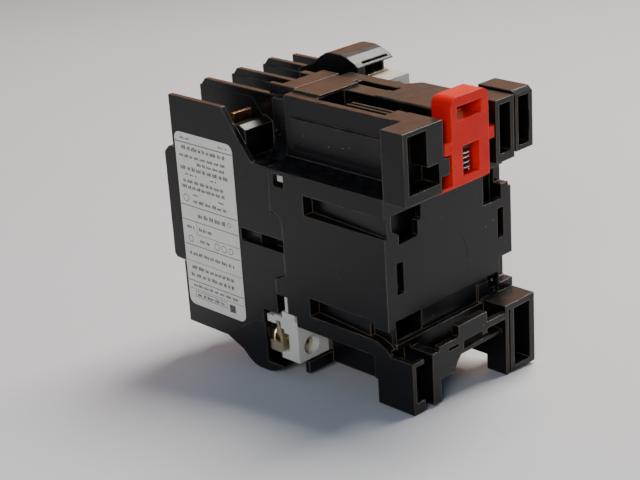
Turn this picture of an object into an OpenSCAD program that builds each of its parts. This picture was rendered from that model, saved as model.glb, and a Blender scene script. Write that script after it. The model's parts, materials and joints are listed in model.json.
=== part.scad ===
// Compact three pole magnetic motor starter (contactor) with one auxiliary pole,
// standing on its line side end: +Z up, +Y to the rear (rail side), +X to the label side.
// Inner heights are counted from the feet; stand() lifts and centres the whole device.

/* [Housing] */
// Width of the device
body_w = 45; // [40:0.5:50]
// Depth from the fixing plane to the front edge of the side walls
body_d = 80; // [70:1:95]
// Lower end of the contact housing
housing_z0 = 2.1; // [1:0.1:5]
// Upper end of the contact housing side walls
housing_z1 = 64.5; // [60:0.5:70]
// Top of the inner barrier fins
fin_top = 66.3; // [64.5:0.1:69]
// Distance between barrier fins
pole_pitch = 11.1; // [10:0.1:12]
// Thickness of a barrier fin
fin_t = 1.5; // [1:0.1:2.5]
// Depth position of the seam between the two housings
seam_y = -45; // [-50:0.5:-40]
// How far the front cover stands proud
cover_d = 3.8; // [2:0.1:6]
// How far the coil terminal shrouds hang below the feet
nose_drop = 3.8; // [2:0.1:6]
// How far the far foot reaches below the label side foot
far_foot_drop = 2.7; // [0:0.1:3]

/* [Rail fixing] */
// Depth of the recess for the rail
rail_d = 7; // [6:0.1:8]
// Height of the ledge the rail stands on
ledge_z = 14.4; // [12:0.1:18]
// Lower end of the two ears
ear_z0 = 52; // [50:0.1:55]
// Top of the ear on the label side
ear_z1 = 68.7; // [65:0.1:72]
// Length of the feet from rear to front
foot_d = 10.6; // [8:0.1:14]
// Distance from the middle to a fixing slot
slot_x = 17.5; // [15:0.1:19]
// Width of a fixing slot
slot_w = 4.4; // [4:0.1:5]

/* [Magnet] */
// Middle height of the magnet
magnet_z = 32; // [30:0.1:34]
// Height of the E cores
core_h = 35; // [30:0.5:37]
// Stack thickness of the E cores
core_t = 13; // [10:0.5:15]
// Thickness of a core yoke
yoke_t = 6; // [4:0.1:8]
// Length of the fixed core legs
leg_l = 10; // [8:0.5:14]
// Open air gap between the cores
air_gap = 4.3; // [3:0.1:6]
// Thickness of the coil winding
winding_t = 5.6; // [3:0.1:6]

/* [Contacts] */
// Middle height of the contacts
contact_z = 33.3; // [30:0.1:36]
// Length of a contact bridge
bridge_l = 23.4; // [20:0.1:28]
// Width of a contact bridge
bridge_w = 6; // [4:0.1:7]
// Radius of a terminal screw head
screw_r = 3.1; // [2:0.1:4]

/* [Rail clip] */
// Half width of the clip body
clip_r = 6.5; // [5:0.1:8]
// Thickness of the clip
clip_t = 5.8; // [4:0.1:7]
// Top of the clip
clip_z1 = 72.6; // [68:0.1:75]
// Lowest point of the clip hook
clip_z0 = 49.4; // [48:0.1:52]

/* [Hidden] */

half_w = body_w / 2;
front_y = -body_d;
rear_y = -rail_d;
wall = 1.3;                                  // side wall of the contact housing
e = 0.02;                                    // overshoot of a cutting tool
pole_x = [1.5 * pole_pitch - 0.2, 0.5 * pole_pitch, -0.5 * pole_pitch,
          -1.5 * pole_pitch + 0.2];
fin_x = [pole_pitch, 0, -pole_pitch];

// magnet positions along the depth
yoke_y1 = -9.3;                              // rear of the fixed yoke
core_face_y = yoke_y1 - yoke_t - leg_l;      // faces of the fixed legs
arm_face_y = core_face_y - air_gap;          // faces of the moving legs at rest
arm_leg = 8;
arm_yoke = 5;
arm_y0 = arm_face_y - arm_leg - arm_yoke;    // front of the moving yoke
leg_mid = 10;                                // height of the middle leg
leg_end = 5;                                 // height of an outer leg

// coil positions along the depth
flange_t = 1.2;
tube_t = 0.9;
tube_gap = 0.25;
bobbin_y1 = yoke_y1 - yoke_t - 0.5;
bobbin_y0 = arm_face_y - 3.6;
tube_z = leg_mid / 2 + tube_gap + tube_t;
tube_x = core_t / 2 + tube_gap + tube_t;

// contact positions along the depth
carrier_y1 = -47.1;                          // rear of the carrier flange
carrier_flange = 3.9;
bar_y1 = carrier_y1 - carrier_flange;
bar_y0 = -66;
bar_z0 = 29;
bar_z1 = 37.6;
window_y1 = -56.6;
window_y0 = -64.4;
bridge_t = 1;
tip_t = 0.9;
fixed_tip_y = -51.5;
bridge_y1 = window_y1 - 0.05;
contact_y = -50.6;                           // front of the fixed contact plates
strip_t = 1;
terminal_y = -60;                            // front of the terminal plates
terminal_end = 29;                           // outer end of a strip from contact_z
terminal_screw_z = 22.6;                     // screw from contact_z
riser_z = 15;                                // riser from contact_z

// coil terminal, near the label side at the bottom; its twin sits at the far top
twin_z = 67.2;                               // bottom and top heights of a twin add up to this
shroud_twin_z = 67.8;                        // the same for the two shrouds
coil_x = 17.6;
coil_z = 5.2;
block_y0 = -44.8;
block_y1 = -38.7;

// colours
black = [0.11, 0.11, 0.12];
black2 = [0.15, 0.15, 0.16];
red = [0.86, 0.14, 0.12];
ivory = [0.82, 0.81, 0.76];
steel = [0.66, 0.66, 0.68];
dark_steel = [0.38, 0.38, 0.40];
copper = [0.78, 0.44, 0.25];
brass = [0.83, 0.68, 0.36];
amber = [0.72, 0.42, 0.14];
paper = [0.90, 0.88, 0.82];

// ---------------------------------------------------------------- helpers

// a block between two corners, given per axis
module block(x, y, z) {
    translate([min(x[0], x[1]), min(y[0], y[1]), min(z[0], z[1])])
        cube([abs(x[1] - x[0]), abs(y[1] - y[0]), abs(z[1] - z[0])]);
}

// a rod along the depth from y0 to y1
module rod_y(x, z, r, y0, y1, fn = 32) {
    translate([x, max(y0, y1), z])
        rotate([90, 0, 0])
            cylinder(r = r, h = abs(y1 - y0), $fn = fn);
}

// an outline drawn in depth and height, pushed along the width
module side_plate(x0, x1, pts) {
    translate([x0, 0, 0])
        rotate([90, 0, 90])
            linear_extrude(height = x1 - x0)
                polygon(pts);
}

// an outline drawn in width and depth, pushed upwards
module flat_plate(z0, z1, pts) {
    translate([0, 0, z0])
        linear_extrude(height = z1 - z0)
            polygon(pts);
}

// an outline drawn in width and height, pushed along the depth
module along_y(y0, y1, pts) {
    translate([0, y1, 0])
        rotate([90, 0, 0])
            linear_extrude(height = y1 - y0)
                polygon(pts);
}

// lifts the device onto its lowest point and centres its depth
module stand() {
    translate([0, (body_d + cover_d) / 2, nose_drop])
        children();
}

// half turn about the depth axis, to the coil terminal at the far top
module far_twin(sum_z = twin_z) {
    translate([0, 0, sum_z])
        rotate([0, 180, 0])
            children();
}

// round wire spring along Z
module wire_spring(r, wire, len, turns, steps = 12, sides = 6) {
    n = turns * steps;
    rise = len - 2 * wire;
    pts = [for (i = [0 : n], k = [0 : sides - 1])
        let (a = 360 * i / steps, b = 360 * k / sides)
            [(r + wire * cos(b)) * cos(a), (r + wire * cos(b)) * sin(a),
             wire + rise * i / n + wire * sin(b)]];
    skin = [for (i = [0 : n - 1], k = [0 : sides - 1])
        let (j = (k + 1) % sides)
            [i * sides + k, (i + 1) * sides + k, (i + 1) * sides + j, i * sides + j]];
    polyhedron(points = pts, faces = concat([[for (k = [0 : sides - 1]) k]], skin,
               [[for (k = [sides - 1 : -1 : 0]) n * sides + k]]), convexity = 6);
}

// a spring along the depth, from y0 to y1
module spring_y(x, z, r, wire, y0, y1, turns) {
    translate([x, max(y0, y1), z])
        rotate([90, 0, 0])
            wire_spring(r, wire, abs(y1 - y0), turns);
}

// slotted cheese head screw along the depth, head to the front
module front_screw(x, z, head_y, head_r, head_h, shank_r, shank_l) {
    difference() {
        rod_y(x, z, head_r, head_y, head_y + head_h, 36);
        block([x - head_r - 1, x + head_r + 1], [head_y - e, head_y + head_h * 0.4],
              [z - 0.45, z + 0.45]);
    }
    rod_y(x, z, shank_r, head_y + head_h - e, head_y + head_h + shank_l, 24);
}

// ---------------------------------------------------------------- rear base

main_z0 = 12;
main_z1 = 52;
upper_x0 = -7.6;
lid_x0 = -10.2;
upper_x1 = 15.5;
tongue_z0 = 25;
tongue_z1 = 38.9;
tongue_y = -41.3;
base_y0 = seam_y + 0.15;
cheek_y = -30;                               // where the lower side rail begins

module base_body() {
    // magnet chamber
    block([-half_w, half_w], [base_y0, rear_y], [main_z0, main_z1]);
    // narrower upper box between the ears
    block([upper_x0, upper_x1], [base_y0, rear_y], [main_z1 - e, ear_z1 - 0.2]);
    // top plate that meets the contact housing, with its sloping rear edge
    side_plate(-2.4, 12.4, [[base_y0, ear_z1 - 1], [-36, ear_z1 - 1],
        [-35.6, 69], [base_y0, 69]]);
    // wider rear part under the flat lid between ridge and clip
    flat_plate(main_z1 - e, ear_z1, [[4, rear_y], [lid_x0, rear_y], [lid_x0, -23.4],
        [upper_x0, -25.6], [4, -25.6]]);
    // sloping ledge on the label side and the undercut wall above it
    along_y(base_y0, rear_y + 0.1, [[15.2, 51.5], [half_w, 51.5], [half_w, 52], [15.2, 53.3]]);
    along_y(-42.6, rear_y + 0.1, [[15, 53], [15.3, 53], [16.2, 63.4], [15, 63.6]]);
}

module base_ears() {
    // label side ear, wider below the clip shoulder
    block([9.4, half_w], [-6.8, 0], [ear_z0, ear_z1]);
    block([7.4, half_w], [-6.8, 0], [ear_z0 - 0.4, 59.3]);
    block([7.4, 15.4], [rear_y - 1, -6.6], [ear_z0 - 0.4, 59.3]);
    block([9.4, 15.6], [-9.8, -6.6], [59, ear_z1]);
    // far ear: inner box and outer slot box
    block([-15.6, -9.1], [rear_y - 3, 0], [ear_z0 + 1, 68.2]);
    side_plate(-half_w, -16.3, [[rear_y - 4.2, 54], [0, 54], [0, 67.6],
        [-1.2, ear_z1], [rear_y - 4.2, ear_z1]]);
    block([-half_w, lid_x0 + 0.5], [rear_y - 4.2, rear_y - 3], [main_z1 - e, ear_z1 - 0.8]);
}

module base_feet() {
    // label side foot
    block([12.9, half_w], [-foot_d - 0.8, 0], [0, 13.2]);
    // far foot, longer and stepped
    block([-half_w + 0.3, -11.2], [-6.2, 0], [-far_foot_drop, 15.8]);
    block([-half_w + 0.3, -11.2], [-foot_d - 0.8, -6], [1.2, 15.8]);
    block([-12.4, -11.2], [-20, -foot_d], [1.2, main_z0 + 1]);
    side_plate(-half_w, -17.5, [[-13.2, 12], [-7.4, 12], [-7.4, 15.8], [-8.3, 17.4],
        [-10, 18.2], [-13.2, 18.2]]);
    // thin cross rail with the fixed hook
    block([-11.4, 13], [-1.6, 0], [12.6, ledge_z - 0.2]);
    block([-4.2, 6.1], [-2.2, 0], [12.8, ledge_z + 2.6]);
    block([-4.2, -2.6], [-1.8, 0], [11.6, 13]);
    // web under the cross rail on the label side
    along_y(-1.6, 0, [[13, 5.8], [8, 6], [6.8, 8.2], [4.5, 10.6], [4.5, 12.9], [6.2, 12.9],
        [6.2, 12.1], [9.8, 11.7], [9.8, 12.9], [13, 12.9]]);
    // floor of the trough behind the cross rail, and the wall that joins the feet
    block([-half_w + 0.3, half_w], [-foot_d - 1.6, -foot_d + 0.6], [6.2, main_z0 + 2]);
    block([-12, 13.4], [-foot_d - 1, -1.5], [8.4, 9.4]);
    // raised pad in the hollow below the rear panel
    block([-14.2, -10.2], [rear_y - 1.4, rear_y - 0.7], [main_z0 + 2, 19.8]);
    // low bulge under the chamber, with its rib below the coil terminal
    block([-6, 10.9], [-38.2, -14], [-1.8, main_z0 + 0.5]);
    block([10.5, 19.3], [-39.6, -38.2], [-2.1, 1]);
}

module base_cavity() {
    // chamber for magnet and coil
    block([-half_w + 3.6, half_w - 3.6], [base_y0 - e, rear_y - 1.8],
          [main_z0 + 1.8, main_z1 - 1.6]);
    // upper box inside
    block([upper_x0 + 1.4, 2.4], [base_y0 - e, rear_y - 2.6],
          [main_z1 - 1.7, ear_z1 - 4.4]);
    block([4.6, upper_x1 - 1.6], [base_y0 - e, -36.2], [main_z1 - 1.7, ear_z1 - 3.2]);
    // open trough beside the ridge
    block([4.2, upper_x1 - 1.8], [-35.6, -13.5], [main_z1 + 2.5, ear_z1 + 1]);
    block([4.2, 9.2], [-14, -8.6], [main_z1 + 2.5, ear_z1 + 1]);
    block([4.2, 9.2], [-9, -5], [62.6, ear_z1 + 1]);
    // narrow slot on top of the ridge
    block([-3.8, -0.9], [-37.4, -24.3], [ear_z1 - 4, ear_z1 + 1]);
    // recess that clears the tongue of the contact housing
    side_plate(-half_w - 1, half_w + 1, [[base_y0 - 1, tongue_z0 - 1.9],
        [-44.8, tongue_z0 - 1.9], [tongue_y + 0.2, tongue_z0 - 0.2],
        [tongue_y + 0.2, tongue_z1 + 0.2], [-43.7, tongue_z1 + 1.95],
        [-44.6, tongue_z1 + 2.25], [base_y0 - 1, tongue_z1 + 2.25]]);
    // open corners for the two coil terminal blocks
    block([11.5, half_w + 1], [base_y0 - 1, block_y1 + 0.5], [main_z0 - 1, 14.7]);
    block([11.5, half_w + 1], [base_y0 - 1, -41.2], [main_z0 - 1, 19]);
    block([-half_w - 1, -11.5], [base_y0 - 1, block_y1 + 0.5], [50.3, main_z1 + 1]);
    block([-half_w - 1, -11.5], [base_y0 - 1, -41.2], [48, main_z1 + 1]);
    // inspection windows that show the bobbin
    for (s = [-1, 1])
        block([s * (half_w - 4.2), s * (half_w + 1)], [-43.2, -39.6], [47.8, 51]);
}

// wedge shaped finger grooves in both side walls
module side_grooves() {
    for (s = [-1, 1], g = [[42.4, 47.5, rear_y + 1], [16.2, 21, rear_y - 4.6]])
        flat_plate(g[0], g[1], [[s * (half_w - 3.1), -33.2], [s * (half_w + 1), -33.2],
            [s * (half_w + 1), g[2]], [s * (half_w - 0.9), g[2]]]);
    // the lower lip curves down to the label side foot
    side_plate(half_w - 2.4, half_w + 1, [[-14, 16.3], [-11, 15.9], [-8.6, 14.9],
        [-6.6, 13.3], [-6, 13.3], [-6, 19.4], [-14, 19.4]]);
    // step up to the rail band and the recessed plate below it
    for (s = [-1, 1])
        block([s * (half_w - 1.2), s * (half_w + 1)], [cheek_y, rear_y - 4.4],
              [main_z0 - 7, 11.9]);
}

module base_pockets() {
    // pockets in the rear face of the ears
    block([14.8, half_w - 1.4], [-5.2, 1], [58.8, 67.7]);
    block([10.9, half_w - 1.4], [-5.4, 1], [54, 59]);
    block([-14.4, -10.3], [-5, 1], [55, 62]);
    block([-14.4, -10.3], [-4, 1], [61.9, 67]);
    // path of the clip hook beside the label side ear
    block([7, 10.3], [-2.2, 1], [ear_z0 - 1, 55.4]);
    // far screw slot with its counterbore
    block([-half_w + 1.3, -17.2], [-4.8, 1], [55.2, 67.2]);
    for (z = [59, 62.6])
        rod_y(-slot_x - 1.9, z, slot_w / 2 - 0.2, 1, -20, 40);
    block([-slot_x - 1.9 - slot_w / 2 + 0.2, -slot_x - 1.9 + slot_w / 2 - 0.2], [-20, 1],
          [59, 62.6]);
    // label side screw slot, open behind the C shaped lips and at the top
    block([15.6, half_w - 1.1], [-9, 1], [2.8, 12.2]);
    block([15.6, half_w - 1.1], [-9, -1.3], [2.8, 14]);
    block([15.6, 18.6], [-5, 1], [-1, 14]);
    for (z = [4.9, 8.4])
        rod_y(slot_x + 0.6, z, slot_w / 2, 1, -20, 40);
    block([slot_x + 0.6 - slot_w / 2, slot_x + 0.6 + slot_w / 2], [-20, 1], [4.9, 8.4]);
    // far foot pocket and the narrow gap beside it
    block([-20.4, -14.3], [-5, 1], [-1.3, 14.3]);
    block([-13, -12.3], [-5, 1], [-far_foot_drop - 1, 14.6]);
}

module base_rear_openings() {
    // stepped windows in the rear panel
    along_y(rear_y - 2.2, rear_y + 1, [[20.1, 47.5], [10, 47.5], [10, 44], [11.2, 43.8],
        [11.2, 40.1], [17.8, 39.8], [17.8, 42.2], [20.1, 43.8]]);
    block([-18.9, -12.1], [rear_y - 2.2, rear_y + 1], [40, 48.6]);
    // narrow slots in the rear panel
    block([16.6, 19], [rear_y - 2.2, rear_y + 1], [27.6, 35.4]);
    block([-19.6, -17.3], [rear_y - 2.2, rear_y + 1], [30, 37.7]);
    // hollow between the rear panel and the feet
    block([-17, 20], [rear_y - 1.3, rear_y + 1], [main_z0 + 3.2, 21.3]);
    block([9.8, 18.8], [rear_y - 2.2, rear_y + 1], [15.6, 20.6]);
    block([-17, -14.6], [rear_y - 2.2, rear_y + 1], [17, 21.3]);
    // shoulder cut on the far side of the rear panel
    block([-half_w - 1, -17.6], [rear_y - 3, rear_y + 1], [18, 24.9]);
    block([-half_w - 1, -18.2], [rear_y - 2.4, rear_y + 1], [43.6, ear_z0]);
}

module rear_base() {
    color(black) stand() {
        difference() {
            union() {
                difference() {
                    union() {
                        base_body();
                        base_ears();
                    }
                    base_cavity();
                    side_grooves();
                    base_rear_openings();
                }
                base_feet();
                // two thin ribs in the trough
                for (x = [9.9, 11.5])
                    block([x - 0.35, x + 0.35], [-27.5, -13.3], [main_z1 + 2, ear_z1 - 0.5]);
                // dark walls behind the two stepped windows
                for (x = [[9, 19], [-19, -11]])
                    block(x, [rear_y - 4.9, rear_y - 3.7], [38.6, 49.4]);
                // end of a moulding pin in the label side ear
                rod_y(18.7, 58.6, 0.75, -5.6, -4.2, 24);
                // stud the clip spring pushes against
                block([-1.8, 1.8], [rear_y - 1, -1.6], [59.1, 60.2]);
                // inner posts that hold the fixed core
                for (s = [-1, 1])
                    block([s * 7.2, s * 8.6], [rear_y - 1.7, rear_y - 6],
                          [magnet_z - 14, magnet_z + 14]);
            }
            base_pockets();
            // holes for the screws that join the housings
            for (s = [-1, 1])
                rod_y(s * join_x, magnet_z + s * 13, 0.75, base_y0 - 1, -36, 24);
        }
    }
}

// ---------------------------------------------------------------- contact housing

join_x = 20.75;                              // screws that join the housings
centre_x0 = -3.8;
centre_x1 = 11.4;
slot_floor = 52.2;
slot_back = -50.6;
chamber_z0 = 20.6;
chamber_z1 = 46;
nose_x0 = 9.5;
foot_r = 4.4;                                // curve at the foot of the upright barrier

// round nosed shroud around a coil terminal, drawn for the label side bottom
module coil_nose() {
    difference() {
        side_plate(nose_x0, half_w, [[-66, 2.2], [-59.6, -0.4], [-57.6, -2.2],
            [-55.6, -3.4], [-54, -nose_drop], [-50, -nose_drop], [-48, -3.3],
            [-45.4, -2.1], [-44.2, -1.2], [-44.2, 3], [-45.2, 4], [-50.4, 9.6],
            [-53.2, 9.6], [-57.8, 3.6], [-64, 3.4]]);
        // hollow for the terminal screw, open to the rear
        block([12, half_w - 1.4], [-57, -44.9], [-2, 10]);
        block([12, half_w + 1], [-50.3, -43], [-1.1, 12]);
    }
}

module housing_body() {
    side_plate(-half_w, half_w, [[front_y, housing_z0], [seam_y, housing_z0],
        [seam_y, tongue_z0 - 1.7], [tongue_y, tongue_z0], [tongue_y, tongue_z1],
        [-43.8, tongue_z1 + 1.7], [seam_y, tongue_z1 + 2], [seam_y, slot_floor],
        [slot_back, slot_floor], [-60.2, housing_z1], [front_y, housing_z1]]);
    // barrier fins run past the ends, with clipped front corners
    for (x = fin_x)
        side_plate(x - fin_t / 2, x + fin_t / 2, [[front_y, 4], [front_y + 2, 0.3],
            [-47, 0.3], [-47, fin_top], [front_y + 2, fin_top], [front_y, fin_top - 2.4]]);
    // raised block in the middle of the line side
    block([centre_x0, centre_x1], [-54.2, seam_y - 0.1], [slot_floor - e, 69]);
    // upright barrier behind the first slot, with its curved foot
    block([12.4, 14.2], [-50.4, seam_y], [slot_floor - 1, 66.6]);
    difference() {
        block([14.1, 18.6], [-50.5, seam_y], [slot_floor - 0.5, slot_floor + foot_r]);
        rod_y(14.2 + foot_r, slot_floor + foot_r, foot_r, -52, -43, 48);
    }
}

// step between a terminal pocket and the floor behind it; s = 1 line, -1 load side
module pocket_step(x, s) {
    in_w = pole_pitch - fin_t - 0.4;
    x0 = max(x - in_w / 2, -half_w + wall - e);
    x1 = min(x + in_w / 2, half_w - wall + e);
    pts = [[-57.1, 50.2], [-57.1, 60.4], [-55.4, 60.4], [-53.4, 59.4],
        [-53.4, slot_floor], [slot_back + 0.1, slot_floor], [slot_back + 0.1, 50.2]];
    side_plate(x0, x1, s > 0 ? pts : [for (q = pts) [q[0], 2 * contact_z - q[1]]]);
}

// one terminal pocket with its mouths to the front and to the end
module pole_pocket(x) {
    in_w = pole_pitch - fin_t - 0.5;
    x0 = max(x - in_w / 2, -half_w + wall);
    x1 = min(x + in_w / 2, half_w - wall);
    // line side
    block([x0, x1], [front_y - e, slot_back], [50.4, 70]);
    // load side
    block([x0, x1], [front_y - e, slot_back], [-5, 16.2]);
    // arc chamber between them
    block([x0, x1], [front_y - e, -48.4], [chamber_z0, chamber_z1]);
    // passages for the fixed contacts
    for (s = [-1, 1])
        block([x - 3.4, x + 3.4], [terminal_y - 0.4, -49.3],
              [contact_z + s * 9, contact_z + s * 18]);
}

module housing_openings() {
    for (x = pole_x)
        pole_pocket(x);
    // guide channel of the contact carrier
    block([-half_w + wall, half_w - wall], [-72, carrier_y1 + 0.4], [27.8, 38.8]);
    // passage of the indicator stem
    block([-stem_x - 0.6, stem_x + 0.6], [front_y - 1, -71], [stem_z0 - 0.6, stem_z1 + 0.6]);
    // opening to the magnet
    block([-14.8, 14.8], [-49, -40], [27.8, 38.8]);
    block([-14.8, 14.8], [seam_y + 0.1, -40], [tongue_z0 - 3, tongue_z1 + 3]);
    // the side walls end lower than the pocket of the first and last slot
    block([-half_w + wall, -12], [slot_back - e, seam_y + 1], [slot_floor, 70]);
    block([18.6, half_w - wall], [slot_back - e, seam_y + 1], [slot_floor, 70]);
    // seat of the front cover
    block([-half_w - 1, half_w + 1], [front_y - 1, front_y + 1.6], [19.2, 50.7]);
    // side slots that show the auxiliary contact
    for (s = [-1, 1])
        block([s * (half_w - 3), s * (half_w + 1)], [-56.4, -41], [30.7, 34.1]);
    // rounded window cut at the bottom corner for the coil terminal
    block([12, half_w + 1], [slot_back + 0.2, seam_y + 1], [-1, 13.6]);
    block([-half_w - 1, -12], [slot_back + 0.2, seam_y + 1], [53, 70]);
    // holes for the screws that join the housings
    for (s = [-1, 1]) {
        rod_y(s * join_x, magnet_z + s * 13, 0.75, -52, -44, 24);
        rod_y(s * join_x, magnet_z + s * 13, 1.2, -53, -49.2, 24);
    }
}

module contact_housing() {
    color(black2) stand() difference() {
        union() {
            difference() {
                housing_body();
                housing_openings();
                coil_nose_room();
                far_twin(shroud_twin_z) coil_nose_room();
                // hollow of the raised middle block
                block([centre_x0 + 1.2, centre_x1 - 1.2], [-53, -40], [slot_floor + 1, 67.6]);
            }
            coil_nose();
            far_twin(shroud_twin_z) coil_nose();
            // the far shroud keeps more of its outer wall
            block([-half_w, -half_w + 0.9], [slot_back, -47.4], [63.4, 69.2]);
            for (i = [0 : 2]) {
                pocket_step(pole_x[i], 1);
                pocket_step(pole_x[i + 1], -1);
            }
        }
        nose_face();
        far_twin(shroud_twin_z) nose_face();
    }
}

// the outer face of a shroud lies a little deeper than the side wall
module nose_face() {
    side_plate(half_w - 0.25, half_w + 1, [[-70, -6], [-65.6, 2], [-65, 2.5], [-53.5, 9.5],
        [-50, 9.8], [-43, 9.8], [-43, -6]]);
}

// clears the pocket walls where a shroud stands
module coil_nose_room() {
    block([12, half_w - wall], [-57, -44], [-5, 9.6]);
}

// ---------------------------------------------------------------- covers and labels

stem_x = 3.4;
stem_z0 = 30;
stem_z1 = 36.6;

module front_cover() {
    color(black2) stand() difference() {
        union() {
            side_plate(-half_w + 0.1, half_w - 0.1, [[front_y + 1.5, 19.4],
                [front_y, 19.4], [front_y - cover_d + 0.8, 19.5], [front_y - cover_d, 20.4],
                [front_y - cover_d, 48.6], [front_y - cover_d + 1.8, 50.4],
                [front_y + 1.5, 50.5]]);
            // barriers that reach into the arc chambers
            for (x = pole_x, z = [[21.5, 27.5], [39.2, 45.2]])
                block([x - 0.5, x + 0.5], [front_y + 1.4, -74], [z[0], z[1]]);
        }
        // hollow behind the face
        block([-half_w + 1.7, half_w - 1.7], [front_y - cover_d + 1.6, front_y + 0.4],
              [21.2, 48.6]);
        // window for the indicator
        block([-stem_x - 0.5, stem_x + 0.5], [front_y - cover_d - 1, front_y + 3],
              [stem_z0 - 0.5, stem_z1 + 0.5]);
        // two openings for an add-on block
        for (s = [-1, 1])
            block([s * 11 - 2.5, s * 11 + 2.5], [front_y - cover_d - 1, front_y + 3],
                  [28, 38.6]);
    }
}

module front_marker() {
    color(paper) stand()
        block([-8, 8], [front_y - cover_d - 0.3, front_y - cover_d], [41.6, 46.8]);
}

label_y0 = -79;
label_y1 = -57.2;
label_z0 = 7.6;
label_z1 = 55.3;

module rating_label() {
    r = 2;
    color(paper) stand()
        translate([half_w, 0, 0])
            rotate([90, 0, 90])
                linear_extrude(height = 0.15)
                    union() {
                        translate([label_y0 + r, label_z0])
                            square([label_y1 - label_y0 - 2 * r, label_z1 - label_z0]);
                        translate([label_y0, label_z0 + r])
                            square([label_y1 - label_y0, label_z1 - label_z0 - 2 * r]);
                        for (y = [label_y0 + r, label_y1 - r], z = [label_z0 + r, label_z1 - r])
                            translate([y, z])
                                circle(r = r, $fn = 32);
                    }
}

module housing_screws() {
    color(steel) stand()
        for (s = [-1, 1])
            front_screw(s * join_x, magnet_z + s * 13, -50.4, 1, 1.2, 0.7, 10);
}

// ---------------------------------------------------------------- rail clip

clip_corner = 2.3;                           // rounding of the loop

module din_clip() {
    color(red) stand() difference() {
        union() {
            // upper loop with rounded shoulders
            rotate([90, 0, 0])
                linear_extrude(height = clip_t)
                    union() {
                        translate([-clip_r, 60])
                            square([2 * clip_r, clip_z1 - clip_corner - 60]);
                        translate([-clip_r + clip_corner, 60])
                            square([2 * (clip_r - clip_corner), clip_z1 - 60]);
                        for (s = [-1, 1])
                            translate([s * (clip_r - clip_corner), clip_z1 - clip_corner])
                                circle(r = clip_corner, $fn = 48);
                    }
            // stop shoulders
            block([-8.7, 8.7], [-4.6, -0.2], [59.7, 62.7]);
            // shank with its sloping hook
            side_plate(-6.5, 6.5, [[-clip_t, clip_z0], [-3.7, clip_z0], [0, 51.6],
                [0, 60.5], [-clip_t, 60.5]]);
            // lip that runs out sideways
            side_plate(-6.5, 9.9, [[-1.7, 50.5], [0, 51.6], [0, 52.3], [-1.7, 51.6]]);
        }
        // screwdriver window
        block([-4.1, 4.5], [-clip_t - 1, 1], [67.1, 70.3]);
        // spring window
        block([-3, 2.8], [-clip_t - 1, 1], [53.5, 60.7]);
        // hollow front of the loop
        block([-4.4, 4.4], [-clip_t - 1, -2.6], [62.6, 66]);
    }
}

module din_clip_spring() {
    color(steel) stand()
        translate([0, -3.1, 53.75])
            wire_spring(1.9, 0.3, 5.2, 4);
}

// ---------------------------------------------------------------- coil

module coil_block() {
    difference() {
        union() {
            block([14, half_w - 0.4], [block_y0, block_y1], [1.5, 12.6]);
            block([14, half_w - 0.4], [block_y0 + 0.8, block_y1 - 0.9], [12.5, 14.4]);
            block([11.8, 14.2], [-40.4, block_y1], [1.5, 8.6]);
            // arm up to the bobbin flange
            block([14, 17.6], [block_y0 + 1.6, block_y1 - 0.9], [12, 19.6]);
            block([14, 17.6], [block_y0 + 1.6, bobbin_y0 + 0.3], [17.3, 19.6]);
            // upright strip at the seam
            block([18.6, 21.6], [-43.2, -41.6], [14.2, 18.4]);
            // hook over the clamp
            block([18.4, 21.6], [-50.1, -47.2], [10, 12]);
            block([18.4, 21.6], [-47.4, block_y0 + 0.1], [11, 12.6]);
        }
        // hole for the end of the screw
        rod_y(coil_x, coil_z, 1.75, -50, -30, 32);
        rod_y(coil_x, coil_z, 2.5, -40.7, -30, 32);
        // wire grooves
        block([13, half_w], [block_y0 - e, block_y0 + 1.2], [3.2, 9.6]);
        block([19.5, half_w], [block_y0 + 1.1, block_y0 + 2.8], [3.8, 8.6]);
    }
}

module coil_bobbin() {
    color(ivory) stand() {
        difference() {
            union() {
                block([-tube_x, tube_x], [bobbin_y0, bobbin_y1],
                      [magnet_z - tube_z, magnet_z + tube_z]);
                // rear flange
                block([-15.2, 15.2], [bobbin_y1 - 1, bobbin_y1],
                      [magnet_z - 12, magnet_z + 12]);
                // front flange with cut corners for the outer legs
                difference() {
                    block([-18, 18], [bobbin_y0, bobbin_y0 + flange_t],
                          [magnet_z - 17.6, magnet_z + 17.6]);
                    for (s = [-1, 1])
                        block([-7.2, 7.2], [bobbin_y0 - 1, bobbin_y0 + 2],
                              [magnet_z + s * 12.1, magnet_z + s * 20]);
                }
                // cheeks seen through the side windows
                for (s = [-1, 1], z = [[15, 22.6], [41.4, 50]])
                    block([s * 16, s * 18], [-43, bobbin_y0 + 0.1], [z[0], z[1]]);
                for (s = [-1, 1])
                    block([s * 17.9, s * 21.2], [-43, -39.9], [48.7, 50.2]);
            }
            // passage for the middle legs
            block([-core_t / 2 - tube_gap, core_t / 2 + tube_gap], [-50, 0],
                  [magnet_z - leg_mid / 2 - tube_gap, magnet_z + leg_mid / 2 + tube_gap]);
        }
        coil_block();
        far_twin() coil_block();
    }
}

// winding as a rounded ring around the tube
module winding_ring(t0, t1, y0, y1) {
    translate([0, y1, magnet_z])
        rotate([90, 0, 0])
            linear_extrude(height = y1 - y0)
                difference() {
                    round_rect(tube_x + t1, tube_z + t1, t1);
                    round_rect(tube_x + t0, tube_z + t0, max(t0, 0.05));
                }
}

// rounded rectangle from its half sizes
module round_rect(a, b, r) {
    square([2 * (a - r), 2 * b], center = true);
    square([2 * a, 2 * (b - r)], center = true);
    for (sx = [-1, 1], sy = [-1, 1])
        translate([sx * (a - r), sy * (b - r)])
            circle(r = r, $fn = 32);
}

module coil_winding() {
    color(copper) stand()
        winding_ring(0.1, winding_t, bobbin_y0 + flange_t + 0.1, bobbin_y1 - 1.1);
}

module coil_wrap() {
    color(amber) stand()
        winding_ring(winding_t + 0.02, winding_t + 0.27, bobbin_y0 + flange_t + 0.15,
                     bobbin_y1 - 1.15);
}

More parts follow.
